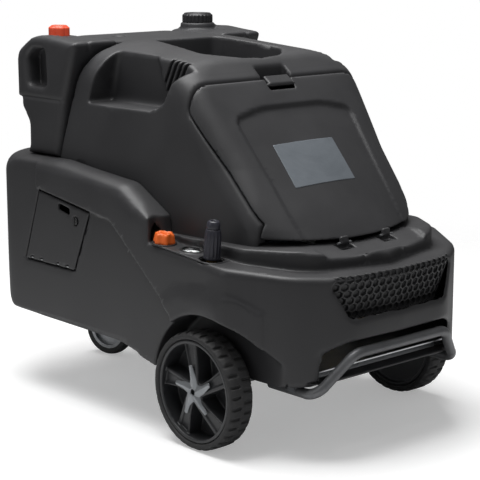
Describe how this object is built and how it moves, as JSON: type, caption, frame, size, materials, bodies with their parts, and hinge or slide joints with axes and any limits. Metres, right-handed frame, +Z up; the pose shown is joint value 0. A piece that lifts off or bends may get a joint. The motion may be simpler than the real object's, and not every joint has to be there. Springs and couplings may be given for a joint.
{
  "type": "pressure washer",
  "caption": "Mobile hot-water pressure washer with a moulded body, hinged front lid, side hatch, two tanks with handles, two front wheels and a rear castor.",
  "frame": {"origin": "on the floor, under the middle of the machine's box", "axes": "+Z up, -Y towards the nose of the machine, +X towards its right-hand (fuel tank) side as seen from behind"},
  "size_m": [0.698, 1.0991, 0.8873],
  "materials": {
    "body_plastic": "moulded charcoal polyethylene, fine texture",
    "grille_plastic": "dark honeycomb",
    "black_plastic": "black moulded plastic",
    "steel_zinc": "zinc plated",
    "frame_paint": "powder coated",
    "bumper_metal": "satin grey paint",
    "label_plate": "plain plate",
    "orange_cap": "moulded orange red",
    "seal_rubber": "soft rubber",
    "orange_knob": "moulded orange",
    "dial_white": "printed dial",
    "needle_black": "black paint",
    "gauge_glass": "clear lens",
    "nozzle_plastic": "blue black grip",
    "brass": "turned brass",
    "tyre_rubber": "black tyre rubber",
    "rim_plastic": "dark moulded rim",
    "hub_silver": "silver grey",
    "castor_grey": "grey nylon",
    "brake_red": "red pedal",
    "motor_paint": "blue grey enamel",
    "cast_aluminium": "as cast",
    "stainless": "stainless sheet",
    "coil_steel": "bent tube",
    "burner_paint": "red enamel",
    "white_plastic": "white polyethylene",
    "box_grey": "grey enclosure"
  },
  "bodies": {
    "frame": {"base_shell": "body_plastic", "floor_pan": "steel_zinc", "chassis_frame": "frame_paint", "hood_shell": "body_plastic", "front_grille": "grille_plastic", "bumper_bar": "bumper_metal", "bumper_clamps": "frame_paint", "detergent_tank": "body_plastic", "fuel_tank": "body_plastic", "lid_hinge_pins": "steel_zinc", "hatch_hinge_pin": "steel_zinc", "console_plate": "body_plastic", "gauge_case": "black_plastic", "gauge_dial": "dial_white", "gauge_lens": "gauge_glass", "nozzle_holder": "black_plastic", "front_axle": "steel_zinc", "castor_plate": "steel_zinc", "motor_housing": "motor_paint", "pump_block": "cast_aluminium", "pump_head": "brass", "boiler_jacket": "stainless", "heating_coil": "coil_steel", "flue_collar": "stainless", "burner_housing": "burner_paint", "burner_motor": "black_plastic", "fuel_pump": "cast_aluminium", "float_tank": "white_plastic", "control_box": "box_grey", "water_inlet": "brass", "pressure_outlet": "coil_steel", "frame_bolts": "steel_zinc"},
    "lid": {"front_lid": "body_plastic", "lid_label_plate": "label_plate"},
    "latch": {"lid_latch": "body_plastic"},
    "hatch": {"side_hatch": "body_plastic"},
    "hatch_lock": {"hatch_lock": "black_plastic"},
    "knob": {"temperature_knob": "orange_knob"},
    "needle": {"gauge_needle": "needle_black"},
    "nozzle": {"rotary_nozzle": "nozzle_plastic", "nozzle_nut": "brass"},
    "left_wheel": {"left_tyre": "tyre_rubber", "left_rim": "rim_plastic", "left_hub_cap": "hub_silver"},
    "right_wheel": {"right_tyre": "tyre_rubber", "right_rim": "rim_plastic", "right_hub_cap": "hub_silver"},
    "castor": {"castor_fork": "steel_zinc", "castor_axle": "steel_zinc"},
    "castor_wheel": {"castor_tyre": "tyre_rubber", "castor_rim": "castor_grey"},
    "brake": {"castor_brake": "brake_red"},
    "detergent_seal": {"detergent_cap_seal": "seal_rubber"},
    "detergent_cap": {"detergent_cap": "orange_cap"},
    "fuel_seal": {"fuel_cap_seal": "seal_rubber"},
    "fuel_cap": {"fuel_cap": "black_plastic"},
    "motor_rotor": {"motor_rotor": "steel_zinc", "motor_fan": "black_plastic"},
    "burner_rotor": {"burner_wheel": "steel_zinc"}
  },
  "joints": [
    {"name": "lid_hinge", "type": "hinge", "parent": "frame", "child": "lid", "pos_m": [0, -0.43, 0.445], "axis": [1, 0, 0], "range_deg": [0, 85]},
    {"name": "latch_pull", "type": "hinge", "parent": "lid", "child": "latch", "pos_m": [0, -0.162, 0.759], "axis": [1, 0, 0], "range_deg": [0, 22], "stiffness_Nm_per_rad": 0.05, "springref_deg": -17.19},
    {"name": "hatch_hinge", "type": "hinge", "parent": "frame", "child": "hatch", "pos_m": [-0.3309, 0.25, 0.326], "axis": [0, -1, 0], "range_deg": [0, 85]},
    {"name": "hatch_lock_turn", "type": "hinge", "parent": "hatch", "child": "hatch_lock", "pos_m": [-0.335, 0.171, 0.44], "axis": [-1, 0, 0], "range_deg": [0, 90]},
    {"name": "temperature_knob_turn", "type": "hinge", "parent": "frame", "child": "knob", "pos_m": [-0.318, -0.13, 0.42862], "axis": [0, 0.0877, -0.9962], "range_deg": [0, 270]},
    {"name": "gauge_needle_turn", "type": "hinge", "parent": "frame", "child": "needle", "pos_m": [-0.304, -0.206, 0.42194], "axis": [0, 0.0877, -0.9962], "range_deg": [0, 270], "stiffness_Nm_per_rad": 0.0002},
    {"name": "nozzle_lift", "type": "slide", "parent": "frame", "child": "nozzle", "axis": [0, -0.0877, 0.9962], "range_m": [0, 0.1]},
    {"name": "left_wheel_spin", "type": "hinge", "parent": "frame", "child": "left_wheel", "pos_m": [-0.317, -0.256, 0.13], "axis": [1, 0, 0], "continuous": true},
    {"name": "right_wheel_spin", "type": "hinge", "parent": "frame", "child": "right_wheel", "pos_m": [0.317, -0.256, 0.13], "axis": [1, 0, 0], "continuous": true},
    {"name": "castor_swivel", "type": "hinge", "parent": "frame", "child": "castor", "pos_m": [0, 0.424, 0.18], "axis": [0, 0, 1], "continuous": true},
    {"name": "castor_wheel_spin", "type": "hinge", "parent": "castor", "child": "castor_wheel", "pos_m": [-0.01165, 0.46747, 0.07], "axis": [0.9659, 0.2588, 0], "continuous": true},
    {"name": "brake_pedal", "type": "hinge", "parent": "castor", "child": "brake", "pos_m": [-0.01372, 0.47519, 0.154], "axis": [-0.9659, -0.2588, 0], "range_deg": [0, 12]},
    {"name": "detergent_cap_lift", "type": "slide", "parent": "frame", "child": "detergent_seal", "axis": [0, 0, 1], "range_m": [0, 0.0082]},
    {"name": "detergent_cap_turn", "type": "hinge", "parent": "detergent_seal", "child": "detergent_cap", "pos_m": [-0.219, 0.377, 0.85], "axis": [0, 0, 1], "range_deg": [0, 720]},
    {"name": "fuel_cap_lift", "type": "slide", "parent": "frame", "child": "fuel_seal", "axis": [0, 0, 1], "range_m": [0, 0.0082]},
    {"name": "fuel_cap_turn", "type": "hinge", "parent": "fuel_seal", "child": "fuel_cap", "pos_m": [0.219, 0.377, 0.865], "axis": [0, 0, 1], "range_deg": [0, 720]},
    {"name": "motor_spin", "type": "hinge", "parent": "frame", "child": "motor_rotor", "pos_m": [-0.04, -0.2, 0.293], "axis": [0, 1, 0], "continuous": true},
    {"name": "burner_spin", "type": "hinge", "parent": "frame", "child": "burner_rotor", "pos_m": [0, 0.079, 0.419], "axis": [1, 0, 0], "continuous": true}
  ],
  "couplings": [
    {"joint": "detergent_cap_lift", "follows": "detergent_cap_turn", "m_per_rad": 0.00063662},
    {"joint": "fuel_cap_lift", "follows": "fuel_cap_turn", "m_per_rad": 0.00063662}
  ]
}
